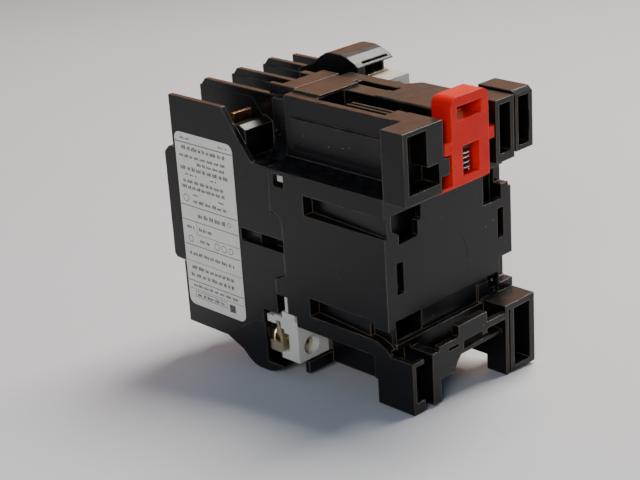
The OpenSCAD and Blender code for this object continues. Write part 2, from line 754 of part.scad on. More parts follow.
module coil_screw() {
    front_screw(coil_x, coil_z, -52.6, 3, 3.6, 1.6, 9);
}

module coil_screws() {
    color(brass) stand() {
        coil_screw();
        far_twin() coil_screw();
    }
}

module coil_clamp() {
    difference() {
        union() {
            // bent plate on the block, with a saddle that reaches forward at each side
            side_plate(coil_x - 3.85, coil_x + 3.85, [[-47.1, 10.7], [-46.2, 10.7],
                [-45.1, 6], [-45, 1], [-45.9, 1], [-46, 6]]);
            for (s = [-1, 1])
                block([coil_x + s * 3.15, coil_x + s * 3.85], [-50, -45.4], [2.2, 5]);
        }
        rod_y(coil_x, coil_z, 1.65, -51, -40, 24);
    }
}

module coil_clamps() {
    color(brass) stand() {
        coil_clamp();
        far_twin() coil_clamp();
    }
}

// ---------------------------------------------------------------- magnet

// E shaped core, yoke from y0 to y1 and legs from y1 to y2
module e_core(y0, y1, y2) {
    block([-core_t / 2, core_t / 2], [y0, y1],
          [magnet_z - core_h / 2, magnet_z + core_h / 2]);
    block([-core_t / 2, core_t / 2], [y1, y2], [magnet_z - leg_mid / 2,
          magnet_z + leg_mid / 2]);
    for (s = [-1, 1])
        block([-core_t / 2, core_t / 2], [y1, y2],
              [magnet_z + s * (core_h / 2 - leg_end), magnet_z + s * core_h / 2]);
}

module fixed_core() {
    color(dark_steel) stand() difference() {
        e_core(yoke_y1, yoke_y1 - yoke_t, core_face_y);
        // rivets run across the stack and grooves hold the shading rings
        for (s = [-1, 1])
            block([-core_t, core_t], [core_face_y - 1, core_face_y + 2.6],
                  [magnet_z + s * (core_h / 2 - 3.2), magnet_z + s * (core_h / 2 - 2)]);
    }
}

module shading_rings() {
    color(copper) stand()
        for (s = [-1, 1]) {
            z0 = magnet_z + s * (core_h / 2 - 3.1);
            z1 = magnet_z + s * (core_h / 2 - 2.1);
            z2 = magnet_z + s * (core_h / 2 + 0.05);
            z3 = magnet_z + s * (core_h / 2 + 0.5);
            // ring lies in the groove and closes around the end of the leg
            block([-core_t / 2 - 1, core_t / 2 + 1], [core_face_y + 0.3, core_face_y + 2.5],
                  [z0, z1]);
            block([-core_t / 2 - 1, core_t / 2 + 1], [core_face_y + 0.3, core_face_y + 2.5],
                  [z2, z3]);
            for (t = [-1, 1])
                block([t * (core_t / 2 + 0.1), t * (core_t / 2 + 1)],
                      [core_face_y + 0.3, core_face_y + 2.5], [z0, z3]);
        }
}

module core_cushion() {
    color([0.2, 0.2, 0.2]) stand()
        block([-core_t / 2, core_t / 2], [yoke_y1 + 0.02, rear_y - 1.82],
              [magnet_z - 16, magnet_z + 16]);
}

module armature_core() {
    color(dark_steel) stand() difference() {
        e_core(arm_y0, arm_y0 + arm_yoke, arm_face_y);
        translate([-core_t, arm_y0 + 2.4, contact_z])
            rotate([0, 90, 0])
                cylinder(r = 1.05, h = 2 * core_t, $fn = 32);
    }
}

module armature_pin() {
    color(steel) stand()
        translate([-8.8, arm_y0 + 2.4, contact_z])
            rotate([0, 90, 0])
                cylinder(r = 1, h = 17.6, $fn = 32);
}

// ---------------------------------------------------------------- contacts

module contact_carrier() {
    color(black) stand() difference() {
        union() {
            // flange behind the contacts and arms that grip the armature
            block([-14.2, 14.2], [bar_y1 - e, carrier_y1], [28.5, 38.1]);
            for (s = [-1, 1])
                block([s * 6.7, s * 8.9], [carrier_y1 - 1, arm_y0 + 4.4], [29.4, 37.2]);
            // cross bar with one window for each contact bridge
            block([-20.6, 20.6], [bar_y0, bar_y1], [bar_z0, bar_z1]);
            // indicator stem that shows in the front cover
            block([-stem_x, stem_x], [front_y - cover_d + 0.4, bar_y0 + e],
                  [stem_z0, stem_z1]);
        }
        for (x = pole_x)
            block([x - bridge_w / 2 - 0.5, x + bridge_w / 2 + 0.5], [window_y0, window_y1],
                  [bar_z0 - 1, bar_z1 + 1]);
        // hole for the armature pin
        translate([-12, arm_y0 + 2.4, contact_z])
            rotate([0, 90, 0])
                cylinder(r = 1.05, h = 24, $fn = 32);
    }
}

return_x = 11.4;

module return_springs() {
    color(steel) stand()
        for (s = [-1, 1])
            spring_y(s * return_x, contact_z, 2.2, 0.3, carrier_y1 + 0.05,
                     bobbin_y0 - 0.05, 6);
}

module contact_bridge(x) {
    block([x - bridge_w / 2, x + bridge_w / 2], [bridge_y1 - bridge_t, bridge_y1],
          [contact_z - bridge_l / 2, contact_z + bridge_l / 2]);
    // raised crown that holds the spring
    rod_y(x, contact_z, 1.3, bridge_y1 - bridge_t - 0.8, bridge_y1 - bridge_t + e, 24);
    for (s = [-1, 1])
        rod_y(x, contact_z + s * 8.9, 2.1, bridge_y1 - e, bridge_y1 + tip_t, 24);
}

module contact_spring(x) {
    spring_y(x, contact_z, 1.9, 0.26, window_y0 + 0.05, bridge_y1 - bridge_t - 0.05, 5);
}

// one fixed contact: inner plate with its tip, riser and terminal plate
module fixed_contact(x, s) {
    w = 3;
    block([x - w, x + w], [contact_y, contact_y + strip_t],
          [contact_z + s * 6.2, contact_z + s * riser_z]);
    block([x - w, x + w], [terminal_y, contact_y + strip_t],
          [contact_z + s * (riser_z - 1), contact_z + s * riser_z]);
    difference() {
        block([x - w, x + w], [terminal_y, terminal_y + strip_t],
              [contact_z + s * (riser_z - 1), contact_z + s * terminal_end]);
        rod_y(x, contact_z + s * terminal_screw_z, 1.8, terminal_y - 1, terminal_y + 2, 24);
    }
    rod_y(x, contact_z + s * 8.9, 2.1, fixed_tip_y, contact_y + e, 24);
}

module terminal_screws() {
    color(steel) stand()
        for (x = pole_x, s = [-1, 1])
            front_screw(x, contact_z + s * terminal_screw_z, terminal_y - 5.6, screw_r, 3,
                        1.7, 5.1);
}

module clamp_washers() {
    color(brass) stand()
        for (x = pole_x, s = [-1, 1])
            difference() {
                block([x - 3.9, x + 3.9], [terminal_y - 2.4, terminal_y - 1.5],
                      [contact_z + s * terminal_screw_z - 3.8,
                       contact_z + s * terminal_screw_z + 3.8]);
                rod_y(x, contact_z + s * terminal_screw_z, 1.8, terminal_y - 4, terminal_y, 24);
            }
}

module bridge_pole_1() { color(copper) stand() contact_bridge(pole_x[0]); }
module bridge_pole_2() { color(copper) stand() contact_bridge(pole_x[1]); }
module bridge_pole_3() { color(copper) stand() contact_bridge(pole_x[2]); }
module bridge_aux() { color(copper) stand() contact_bridge(pole_x[3]); }
module contact_spring_1() { color(steel) stand() contact_spring(pole_x[0]); }
module contact_spring_2() { color(steel) stand() contact_spring(pole_x[1]); }
module contact_spring_3() { color(steel) stand() contact_spring(pole_x[2]); }
module contact_spring_aux() { color(steel) stand() contact_spring(pole_x[3]); }
module line_contact_1() { color(copper) stand() fixed_contact(pole_x[0], 1); }
module line_contact_2() { color(copper) stand() fixed_contact(pole_x[1], 1); }
module line_contact_3() { color(copper) stand() fixed_contact(pole_x[2], 1); }
module line_contact_aux() { color(copper) stand() fixed_contact(pole_x[3], 1); }
module load_contact_1() { color(copper) stand() fixed_contact(pole_x[0], -1); }
module load_contact_2() { color(copper) stand() fixed_contact(pole_x[1], -1); }
module load_contact_3() { color(copper) stand() fixed_contact(pole_x[2], -1); }
module load_contact_aux() { color(copper) stand() fixed_contact(pole_x[3], -1); }

rear_base();
contact_housing();
front_cover();
front_marker();
rating_label();
housing_screws();
din_clip();
din_clip_spring();
coil_bobbin();
coil_winding();
coil_wrap();
coil_screws();
coil_clamps();
fixed_core();
shading_rings();
core_cushion();
armature_core();
armature_pin();
contact_carrier();
return_springs();
bridge_pole_1();
bridge_pole_2();
bridge_pole_3();
bridge_aux();
contact_spring_1();
contact_spring_2();
contact_spring_3();
contact_spring_aux();
line_contact_1();
line_contact_2();
line_contact_3();
line_contact_aux();
load_contact_1();
load_contact_2();
load_contact_3();
load_contact_aux();
terminal_screws();
clamp_washers();
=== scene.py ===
import bpy
import bmesh
import json
import math
import random
from collections import namedtuple
from mathutils import Matrix, Vector


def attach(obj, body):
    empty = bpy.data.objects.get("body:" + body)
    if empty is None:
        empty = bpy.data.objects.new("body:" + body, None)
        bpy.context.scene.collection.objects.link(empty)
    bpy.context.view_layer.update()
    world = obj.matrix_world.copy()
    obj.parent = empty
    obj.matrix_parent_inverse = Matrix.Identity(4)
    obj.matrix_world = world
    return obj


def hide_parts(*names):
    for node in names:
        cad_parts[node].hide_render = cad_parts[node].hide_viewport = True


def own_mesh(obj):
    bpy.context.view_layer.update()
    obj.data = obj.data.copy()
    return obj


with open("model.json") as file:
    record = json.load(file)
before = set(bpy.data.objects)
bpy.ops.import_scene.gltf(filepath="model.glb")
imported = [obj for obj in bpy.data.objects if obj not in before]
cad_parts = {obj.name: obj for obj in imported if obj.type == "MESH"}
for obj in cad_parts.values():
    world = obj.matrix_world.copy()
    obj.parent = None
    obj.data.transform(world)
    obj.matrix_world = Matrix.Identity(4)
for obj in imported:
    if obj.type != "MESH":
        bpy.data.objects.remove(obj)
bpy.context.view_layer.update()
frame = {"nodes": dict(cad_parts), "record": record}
nodes = frame["nodes"]

MM = 0.001
DY = 41.9                    # the row frame's origin, mm in front of the fixing plane
DZ = 3.8                     # and mm below the feet


def at(x, y, z):
    """A point given in mm from the fixing plane and the feet, in the row frame."""
    return Vector((x * MM, (y + DY) * MM, (z + DZ) * MM))


def link(name, data):
    """A new object that shows data."""
    obj = bpy.data.objects.new(name, data)
    bpy.context.scene.collection.objects.link(obj)
    return obj


# ---------------------------------------------------------------- camera

CAM_AZIMUTH = 136.59
CAM_ELEVATION = 21.83
CAM_ROLL = -3.80
CAM_EYE = (261.44, 224.51, 176.76)
CAM_LENS = 89.47


def make_camera():
    """The fixed camera: an eye point, three angles and a lens."""
    a, e, roll = (math.radians(v) for v in (CAM_AZIMUTH, CAM_ELEVATION, CAM_ROLL))
    back = Vector((math.sin(a) * math.cos(e), -math.cos(a) * math.cos(e), math.sin(e)))
    right = Vector((math.cos(a), math.sin(a), 0))
    up = back.cross(right)
    r = right * math.cos(roll) + up * math.sin(roll)
    u = up * math.cos(roll) - right * math.sin(roll)
    cam = link("camera", bpy.data.cameras.new("camera"))
    cam.data.lens = CAM_LENS
    cam.data.sensor_width = 36
    cam.data.clip_start = 0.01
    cam.data.clip_end = 20
    m = Matrix((r, u, back)).transposed().to_4x4()
    m.translation = at(*CAM_EYE)
    cam.matrix_world = m
    bpy.context.scene.camera = cam


# ---------------------------------------------------------------- finishes

WAVE_UNIT = 2 * math.pi / 20  # scale of a wave texture with one stripe per metre


NOISE_MIDDLE = (0.3, 0.7)    # most of a noise lies between these


class Finish:
    """One procedural material, with short calls for the nodes it is made of."""

    def __init__(self, name):
        self.mat = bpy.data.materials.new(name)
        self.mat.use_nodes = True
        self.tree = self.mat.node_tree
        self.shader = self.tree.nodes["Principled BSDF"]
        self.place = self.add("ShaderNodeTexCoord").outputs["Object"]

    def add(self, kind, **settings):
        n = self.tree.nodes.new(kind)
        for key, value in settings.items():
            setattr(n, key, value)
        return n

    def put(self, socket, value):
        """A constant or a link on a socket."""
        if isinstance(value, bpy.types.NodeSocket):
            self.tree.links.new(value, socket)
        else:
            socket.default_value = value

    def set(self, **values):
        """Sets shader inputs by name, with _ for a space."""
        for key, value in values.items():
            self.put(self.shader.inputs[key.replace("_", " ")], value)

    def math(self, operation, a, b=0.0, clamp=False):
        n = self.add("ShaderNodeMath", operation=operation, use_clamp=clamp)
        self.put(n.inputs[0], a)
        self.put(n.inputs[1], b)
        return n.outputs[0]

    def noise(self, scale, detail=3.0, rough=0.5, stretch=(1, 1, 1), shift=0.0):
        """Noise with about one lump per 1/scale metres."""
        m = self.add("ShaderNodeMapping")
        m.inputs["Scale"].default_value = stretch
        m.inputs["Location"].default_value = (shift, shift, shift)
        self.put(m.inputs["Vector"], self.place)
        n = self.add("ShaderNodeTexNoise")
        self.put(n.inputs["Vector"], m.outputs[0])
        n.inputs["Scale"].default_value = scale
        n.inputs["Detail"].default_value = detail
        n.inputs["Roughness"].default_value = rough
        return n.outputs["Fac"]

    def bands(self, period, axis, warp=0.0):
        """Even stripes across one axis, one for each period in metres."""
        n = self.add("ShaderNodeTexWave", bands_direction=axis)
        self.put(n.inputs["Vector"], self.place)
        n.inputs["Scale"].default_value = WAVE_UNIT / period
        n.inputs["Distortion"].default_value = warp
        return n.outputs["Fac"]

    def specks(self, scale, share, size):
        """Small scattered dots on a share of the cells."""
        n = self.add("ShaderNodeTexVoronoi")
        self.put(n.inputs["Vector"], self.place)
        n.inputs["Scale"].default_value = scale
        near = self.math("LESS_THAN", n.outputs["Distance"], size)
        split = self.add("ShaderNodeSeparateColor")
        self.put(split.inputs[0], n.outputs["Color"])
        some = self.math("LESS_THAN", split.outputs[0], share)
        return self.math("MULTIPLY", near, some)

    def span(self, value, low, high, out_low=0.0, out_high=1.0):
        """Maps low..high to out_low..out_high, held at the ends."""
        n = self.add("ShaderNodeMapRange")
        n.clamp = True
        self.put(n.inputs["Value"], value)
        n.inputs["From Min"].default_value = low
        n.inputs["From Max"].default_value = high
        n.inputs["To Min"].default_value = out_low
        n.inputs["To Max"].default_value = out_high
        return n.outputs["Result"]

    def spread(self, noise, out_low=0.0, out_high=1.0):
        """Maps the usual range of a noise to out_low..out_high."""
        return self.span(noise, *NOISE_MIDDLE, out_low, out_high)

    def mix(self, share, a, b):
        """Colour a where share is 0, and b where it is 1."""
        n = self.add("ShaderNodeMix", data_type="RGBA")
        self.put(n.inputs["Factor"], share)
        for side, color in (("A", a), ("B", b)):
            linked = isinstance(color, bpy.types.NodeSocket)
            self.put(n.inputs[side], color if linked else (*color, 1))
        return n.outputs["Result"]

    def rounded(self, radius):
        """The normal as if each edge had a small rounding, and a mask of those edges."""
        soft = self.add("ShaderNodeBevel")
        soft.samples = 6
        soft.inputs["Radius"].default_value = radius
        flat = self.add("ShaderNodeNewGeometry").outputs["Normal"]
        dot = self.add("ShaderNodeVectorMath", operation="DOT_PRODUCT")
        self.put(dot.inputs[0], soft.outputs[0])
        self.put(dot.inputs[1], flat)
        turn = self.math("SUBTRACT", 1.0, dot.outputs["Value"])
        return soft.outputs[0], self.span(turn, 0.006, 0.09)

    def bump(self, height, depth, normal=None):
        n = self.add("ShaderNodeBump")
        self.put(n.inputs["Height"], height)
        n.inputs["Distance"].default_value = depth
        n.inputs["Strength"].default_value = 1.0
        if normal is not None:
            self.put(n.inputs["Normal"], normal)
        return n.outputs[0]

    def upward(self):
        """1 on faces that look up, 0 on the rest."""
        normal = self.add("ShaderNodeNewGeometry").outputs["Normal"]
        split = self.add("ShaderNodeSeparateXYZ")
        self.put(split.inputs[0], normal)
        return self.span(split.outputs["Z"], 0.35, 0.9)


GRAIN = 2600.0               # lumps per metre of a fine moulded texture
MOTTLE = 70.0                # lumps per metre of slow colour change
BLACK_EDGE_R = 0.00045       # rounding of the black edges, m
CORE_SHEET = 0.0005          # thickness of one core sheet, m
WIRE_TURN = 0.00022          # pitch of the winding, m


def moulded_black(name, base, edge_highlight_color, rough, dust_and_sheen=0.5):
    """Satin black thermoplastic: fine grain, edges lightened as a painted highlight with some
    rubbing, a little dust and a painted warm sheen on top.
    """
    f = Finish(name)
    normal, edges = f.rounded(BLACK_EDGE_R)
    slow = f.noise(MOTTLE, 4, 0.6)
    fine = f.noise(GRAIN, 3, 0.6)
    streak = f.noise(260, 4, 0.6, stretch=(1, 1, 0.25), shift=0.3)
    body = f.mix(f.spread(slow), base, [c * 1.5 for c in base])
    # Edges take a streaked warm light colour: a painted edge highlight, with some rubbing.
    edge_highlight_mask = f.math("MULTIPLY", edges, f.span(streak, 0.35, 0.65, 0.25, 1.0))
    body = f.mix(edge_highlight_mask, body, edge_highlight_color)
    # Faces that look up take a little warm brown: partly dust, partly a painted warm sheen on
    # top.
    dust_and_top_sheen = f.math("MULTIPLY", f.upward(), f.span(f.noise(420, 5, 0.7), 0.45, 0.75))
    body = f.mix(f.math("MULTIPLY", dust_and_top_sheen, dust_and_sheen * 0.14), body, (0.34, 0.29, 0.23))
    dots = f.specks(700, 0.07, 0.13)
    body = f.mix(f.math("MULTIPLY", dots, 0.35), body, (0.42, 0.40, 0.37))
    shine = f.spread(slow, rough - 0.05, rough + 0.06)
    shine = f.math("ADD", shine, f.spread(fine, -0.03, 0.03))
    shine = f.math("SUBTRACT", shine, f.math("MULTIPLY", edges, 0.10), clamp=True)
    f.set(Base_Color=body, Roughness=shine, IOR=1.36)
    f.set(Normal=f.bump(fine, 0.000012, normal))
    return f.mat


def moulded_red():
    """Smooth acetal of the rail clip, lightened along its edges by scuffing and a painted
    highlight.
    """
    f = Finish("clip_red")
    normal, edges = f.rounded(0.0005)
    slow = f.noise(110, 4, 0.6)
    fine = f.noise(1500, 4, 0.6)
    body = f.mix(f.spread(slow), (0.62, 0.006, 0.002), (0.76, 0.012, 0.004))
    # Brighter red along the edges: scuffing, and partly a painted edge highlight.
    scuff_and_highlight = f.math("MULTIPLY", edges, f.span(f.noise(600, 4), 0.4, 0.7, 0.1, 0.8))
    body = f.mix(scuff_and_highlight, body, (0.88, 0.09, 0.045))
    grime = f.span(f.noise(330, 5, 0.7, shift=0.7), 0.62, 0.80, 0.0, 0.45)
    body = f.mix(grime, body, (0.16, 0.012, 0.008))
    f.set(Base_Color=body, Roughness=f.spread(fine, 0.26, 0.36), IOR=1.36)
    f.set(Specular_IOR_Level=0.3)
    f.set(Normal=f.bump(fine, 0.000010, normal))
    return f.mat


def moulded_pale(name, base, tint, rough):
    """Matt nylon, greyed in random patches."""
    f = Finish(name)
    normal, edges = f.rounded(0.0003)
    slow = f.noise(120, 4, 0.6)
    fine = f.noise(1900, 3, 0.6)
    body = f.mix(f.span(slow, 0.3, 0.72), base, tint)
    # Edges lighter: a painted edge highlight.
    body = f.mix(f.math("MULTIPLY", edges, 0.4), body, [min(1.0, c * 1.12) for c in base])
    body = f.mix(f.span(f.noise(500, 5, 0.7), 0.64, 0.78, 0, 0.3), body, [c * 0.5 for c in base])
    f.set(Base_Color=body, Roughness=f.spread(fine, rough - 0.05, rough + 0.07))
    f.set(Normal=f.bump(fine, 0.000010, normal))
    return f.mat


def printed_paper():
    """Cream label film, a little soiled and not quite flat."""
    f = Finish("label_paper")
    slow = f.noise(90, 5, 0.6)
    fibre = f.noise(2200, 4, 0.7)
    body = f.mix(f.spread(slow), (0.71, 0.69, 0.62), (0.64, 0.615, 0.545))
    body = f.mix(f.span(f.noise(380, 5, 0.7), 0.62, 0.8, 0, 0.35), body, (0.40, 0.37, 0.32))
    f.set(Base_Color=body, Roughness=f.spread(fibre, 0.36, 0.5))
    waves = f.math("ADD", f.math("MULTIPLY", slow, 6.0), fibre)
    f.set(Normal=f.bump(waves, 0.000008))
    return f.mat


def print_ink():
    """Dark grey print, thin in places."""
    f = Finish("label_ink")
    thin = f.noise(2400, 3, 0.6)
    f.set(Base_Color=f.mix(f.span(thin, 0.45, 0.75), (0.035, 0.035, 0.04), (0.16, 0.155, 0.15)))
    f.set(Roughness=f.spread(thin, 0.42, 0.55))
    return f.mat


def metal(name, base, tint, rough, brushed=(1, 1, 1), tarnish=(0.1, 0.08, 0.06), old=0.3):
    """Metal with drawn or brushed scratches, and tarnish in patches."""
    f = Finish(name)
    normal, edges = f.rounded(0.00015)
    slow = f.noise(240, 5, 0.65)
    scratch = f.noise(2600, 4, 0.6, stretch=brushed)
    body = f.mix(f.spread(slow), base, tint)
    body = f.mix(f.span(f.noise(520, 5, 0.7, shift=0.4), 0.52, 0.75, 0, old), body, tarnish)
    # Edges lighter: a painted edge highlight.
    body = f.mix(f.math("MULTIPLY", edges, 0.35), body, [min(1.0, c * 1.25) for c in base])
    f.set(Base_Color=body, Metallic=1.0)
    f.set(Roughness=f.spread(scratch, rough - 0.06, rough + 0.1))
    f.set(Normal=f.bump(scratch, 0.000006, normal))
    return f.mat


def sheet_stack():
    """Punched core sheets, half a millimetre each, stacked across the width."""
    f = Finish("core_steel")
    sheets = f.bands(CORE_SHEET, "X")
    slow = f.noise(200, 5, 0.6)
    body = f.mix(f.span(sheets, 0.05, 0.4), (0.10, 0.09, 0.085), (0.42, 0.41, 0.41))
    body = f.mix(f.span(slow, 0.55, 0.75, 0, 0.6), body, (0.24, 0.15, 0.09))
    f.set(Base_Color=body, Metallic=0.9, Roughness=f.spread(slow, 0.38, 0.55))
    f.set(Normal=f.bump(sheets, 0.00003))
    return f.mat


def wound_wire():
    """Enamelled copper wire in close turns."""
    f = Finish("winding_copper")
    turns = f.bands(WIRE_TURN, "Y", 0.4)
    slow = f.noise(300, 4, 0.6)
    body = f.mix(f.span(turns, 0.1, 0.7), (0.16, 0.045, 0.015), (0.62, 0.24, 0.09))
    body = f.mix(f.span(slow, 0.5, 0.75, 0, 0.5), body, (0.42, 0.12, 0.04))
    f.set(Base_Color=body, Metallic=0.85, Roughness=f.spread(slow, 0.22, 0.34))
    f.set(Coat_Weight=0.4, Normal=f.bump(turns, 0.00005))
    return f.mat


def film_tape():
    """Amber film tape, wrinkled along its edges."""
    f = Finish("wrap_amber")
    wrinkle = f.noise(420, 5, 0.6, stretch=(1, 0.3, 1))
    body = f.mix(f.spread(wrinkle), (0.50, 0.22, 0.045), (0.62, 0.33, 0.09))
    f.set(Base_Color=body, Roughness=f.spread(wrinkle, 0.18, 0.32))
    f.set(Coat_Weight=0.3, Normal=f.bump(wrinkle, 0.00006))
    return f.mat


def soft_rubber():
    """Grey-black rubber pad behind the fixed core."""
    f = Finish("cushion_rubber")
    pores = f.noise(1600, 5, 0.7)
    bloom = f.noise(150, 4, 0.6)
    f.set(Base_Color=f.mix(f.span(bloom, 0.4, 0.8), (0.018, 0.018, 0.018), (0.05, 0.05, 0.048)))
    f.set(Roughness=f.spread(pores, 0.72, 0.86), Normal=f.bump(pores, 0.00002))
    return f.mat


def make_finishes():
    """One material for each material slot of the record, and the print's ink."""
    return {
        # The second colour of each black is its painted edge highlight.
        "housing_black": moulded_black("housing_black", (0.0028, 0.0027, 0.0031),
                                       (0.135, 0.098, 0.062), 0.33),
        "front_black": moulded_black("front_black", (0.0026, 0.0026, 0.0031),
                                     (0.120, 0.092, 0.062), 0.31),
        "carrier_black": moulded_black("carrier_black", (0.010, 0.010, 0.010),
                                       (0.04, 0.04, 0.04), 0.34, dust_and_sheen=0.1),
        "clip_red": moulded_red(),
        "coil_ivory": moulded_pale("coil_ivory", (0.60, 0.59, 0.52), (0.50, 0.49, 0.43), 0.42),
        "marker_white": moulded_pale("marker_white", (0.76, 0.75, 0.70), (0.66, 0.65, 0.60), 0.4),
        "label_paper": printed_paper(),
        "label_ink": print_ink(),
        "winding_copper": wound_wire(),
        "wrap_amber": film_tape(),
        "core_steel": sheet_stack(),
        "cushion_rubber": soft_rubber(),
        "screw_steel": metal("screw_steel", (0.62, 0.60, 0.55), (0.50, 0.49, 0.46), 0.28),
        "spring_steel": metal("spring_steel", (0.70, 0.69, 0.67), (0.55, 0.54, 0.53), 0.2,
                              old=0.1),
        "contact_copper": metal("contact_copper", (0.78, 0.40, 0.22), (0.64, 0.30, 0.15), 0.3,
                                (1, 1, 0.15), (0.20, 0.07, 0.04)),
        "clamp_brass": metal("clamp_brass", (0.78, 0.66, 0.40), (0.62, 0.54, 0.36), 0.3,
                             (0.2, 1, 1), (0.22, 0.16, 0.08)),
    }


make_camera()
finishes = make_finishes()
slot_of = {part["node"]: part["material_slot"] for part in frame["record"]["subparts"]}


def paint(obj, slot):
    obj.data.materials.clear()
    obj.data.materials.append(finishes[slot])


for name, obj in nodes.items():
    paint(obj, slot_of[name])


def piece(name, bm, slot, body, smooth_angle=None):
    """A finished mesh as a piece of the object, riding on a body."""
    mesh = bpy.data.meshes.new(name)
    bmesh.ops.recalc_face_normals(bm, faces=bm.faces)
    bm.to_mesh(mesh)
    bm.free()
    if smooth_angle is not None:
        mesh.shade_smooth()
        mesh.set_sharp_from_angle(angle=math.radians(smooth_angle))
    obj = link(name, mesh)
    paint(obj, slot)
    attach(obj, body)
    return obj


def skin(bm, rings):
    """Joins each ring of vertices to the next, and closes both ends."""
    sides = len(rings[0])
    for r0, r1 in zip(rings, rings[1:]):
        for k in range(sides):
            j = (k + 1) % sides
            bm.faces.new((r0[k], r1[k], r1[j], r0[j]))
    bm.faces.new(rings[0])
    bm.faces.new(rings[-1][::-1])


# ---------------------------------------------------------------- wire springs

TURN_STEPS = 28
WIRE_SIDES = 10
CLOSED_TURNS = 0.8           # closed part of a turn at each end of a coil
CLOSED_PITCH = 2.1           # rise of a closed turn, in wire radii

Coil = namedtuple("Coil", "radius wire turns")    # mm, mm and a number


def add_coil(bm, start, end, across, coil):
    """Round wire coil from start to end, with closed end turns."""
    radius, wire, turns = coil.radius * MM, coil.wire * MM, coil.turns
    axis = (end - start).normalized()
    side = across.normalized()
    third = axis.cross(side)
    length = (end - start).length
    dead = CLOSED_TURNS
    dead_rise = CLOSED_PITCH * wire * dead
    live_rise = length - 2 * wire - 2 * dead_rise
    rings = []
    count = round(turns * TURN_STEPS)
    for i in range(count + 1):
        t = turns * i / count
        if t < dead:
            h = dead_rise * t / dead
        elif t > turns - dead:
            h = dead_rise + live_rise + dead_rise * (t - turns + dead) / dead
        else:
            h = dead_rise + live_rise * (t - dead) / (turns - 2 * dead)
        a = 2 * math.pi * t
        out = side * math.cos(a) + third * math.sin(a)
        middle = start + axis * (wire + h) + out * radius
        ring = []
        for k in range(WIRE_SIDES):
            b = 2 * math.pi * k / WIRE_SIDES
            ring.append(bm.verts.new(middle + (out * math.cos(b) + axis * math.sin(b)) * wire))
        rings.append(ring)
    skin(bm, rings)


CONTACT_Z = 33.3             # height of the contact bridges
POLE_X = (16.45, 5.55, -5.55, -16.45)
POLE_ENDS = ("1", "2", "3", "aux")

RETURN_COIL = Coil(radius=2.2, wire=0.3, turns=6.5)
RETURN_X = 11.4
RETURN_END_Y = -33.25        # end of the return springs on the bobbin
RETURN_LEN = 13.8

CLIP_COIL = Coil(radius=1.9, wire=0.3, turns=4.5)
CLIP_SPRING_Y = -3.1
CLIP_SPRING_TOP = 59.0
CLIP_SPRING_LEN = 5.2

CONTACT_COIL = Coil(radius=1.9, wire=0.26, turns=5)
CONTACT_SPRING_Y = (-64.35, -57.7)


def make_springs():
    """Wire coils in place of the faceted springs of the CAD."""
    bm = bmesh.new()
    for s in (-1, 1):
        add_coil(bm, at(s * RETURN_X, RETURN_END_Y - RETURN_LEN, CONTACT_Z),
                 at(s * RETURN_X, RETURN_END_Y, CONTACT_Z), Vector((1, 0, 0)), RETURN_COIL)
    back = piece("return_spring_coils", bm, "spring_steel", "base", 60)
    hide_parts("return_springs")
    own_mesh(back)
    bm = bmesh.new()
    add_coil(bm, at(0, CLIP_SPRING_Y, CLIP_SPRING_TOP - CLIP_SPRING_LEN),
             at(0, CLIP_SPRING_Y, CLIP_SPRING_TOP), Vector((0, 1, 0)), CLIP_COIL)
    clip = piece("clip_spring_coil", bm, "spring_steel", "base", 60)
    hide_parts("din_clip_spring")
    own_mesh(clip)
    for x, end in zip(POLE_X, POLE_ENDS):
        bm = bmesh.new()
        y0, y1 = CONTACT_SPRING_Y
        add_coil(bm, at(x, y0, CONTACT_Z), at(x, y1, CONTACT_Z), Vector((1, 0, 0)), CONTACT_COIL)
        coil = piece("contact_spring_coil_" + end, bm, "spring_steel", "carrier", 60)
        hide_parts("contact_spring_" + end)


# ---------------------------------------------------------------- screws

TURNED_STEPS = 40
THREAD_PITCH = 0.7
THREAD_DEPTH = 0.22
CROWN_STEPS = 6
CROWN_SHARE = 0.45           # domed part of a head's height
FLAT_SHARE = 0.62            # flat part of a head's radius
CHAMFER = 0.2                # under the head
SLOT_REACH = 1.2             # half length of a slot, in head radii
CROSS_SHARE = 0.55           # length of the short cross to that of the slot

Screw = namedtuple("Screw", "head_r head_h shank_r shank_l slot_w")
COIL_SCREW = Screw(head_r=3, head_h=3.6, shank_r=1.6, shank_l=9, slot_w=0.9)
POLE_SCREW = Screw(head_r=3.1, head_h=3, shank_r=1.7, shank_l=5.1, slot_w=0.9)
JOINING_SCREW = Screw(head_r=1, head_h=1.2, shank_r=0.7, shank_l=10, slot_w=0.35)


def add_turned(bm, x, z, profile):
    """Turns (radius, y) points about a depth axis through x and z."""
    rings = []
    for r, y in profile:
        ring = []
        for i in range(TURNED_STEPS):
            a = 2 * math.pi * i / TURNED_STEPS
            ring.append(bm.verts.new(at(x + r * math.cos(a), y, z + r * math.sin(a))))
        rings.append(ring)
    skin(bm, rings)


def screw_profile(y0, screw):
    """Pan head to the front at y0, and a threaded shank behind it."""
    head_r, head_h, shank_r, shank_l, _ = screw
    pitch = THREAD_PITCH
    crown = head_h * CROWN_SHARE
    points = [(head_r * 0.06, y0)]
    for i in range(1, CROWN_STEPS + 1):
        a = math.pi / 2 * i / CROWN_STEPS
        share = FLAT_SHARE + (1 - FLAT_SHARE) * math.sin(a)
        points.append((head_r * share, y0 + crown * (1 - math.cos(a))))
    points.append((head_r, y0 + head_h - 0.25))
    points.append((head_r - CHAMFER, y0 + head_h))
    points.append((shank_r, y0 + head_h))
    y = y0 + head_h + 0.3
    while y < y0 + head_h + shank_l - pitch:
        points.append((shank_r, y))
        points.append((shank_r - THREAD_DEPTH, y + pitch / 2))
        y += pitch
    points.append((shank_r, y))
    points.append((shank_r * 0.7, y0 + head_h + shank_l))
    return points


